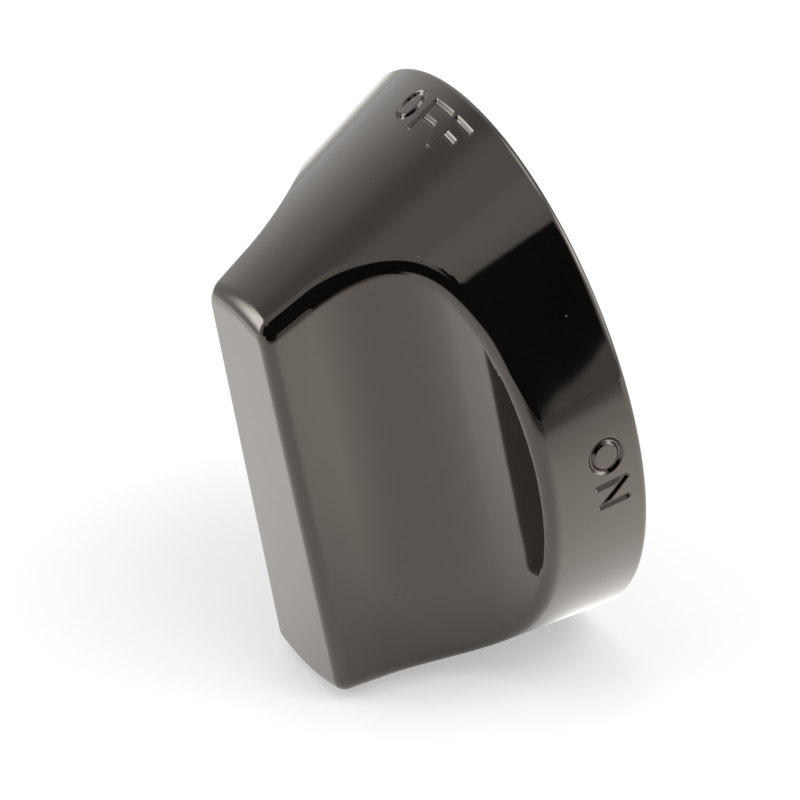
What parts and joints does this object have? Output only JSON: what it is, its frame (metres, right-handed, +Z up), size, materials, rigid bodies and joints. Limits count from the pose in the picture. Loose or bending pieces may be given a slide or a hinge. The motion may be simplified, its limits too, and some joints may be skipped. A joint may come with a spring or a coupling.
{
  "type": "range burner knob",
  "caption": "Round skirted control knob with a bar grip between two scooped sides, hollow underneath, pushed onto a D-shaped valve stem.",
  "frame": {"origin": "centre of the stem hole's mouth, on the stem axis, 1 mm inside the plane of the skirt's rim", "axes": "as fitted to a range's front panel: +Y along the stem axis out of the hole, towards the panel; the grip faces -Y; +Z up, towards the OFF end of the grip; +X to the right seen from the front"},
  "size_m": [0.057, 0.0272, 0.057],
  "materials": {
    "black_plastic": "moulded gloss",
    "spring_steel": "rolled strip"
  },
  "bodies": {
    "root": {"knob_body": "black_plastic", "stem_spring_clip": "spring_steel"}
  },
  "joints": []
}
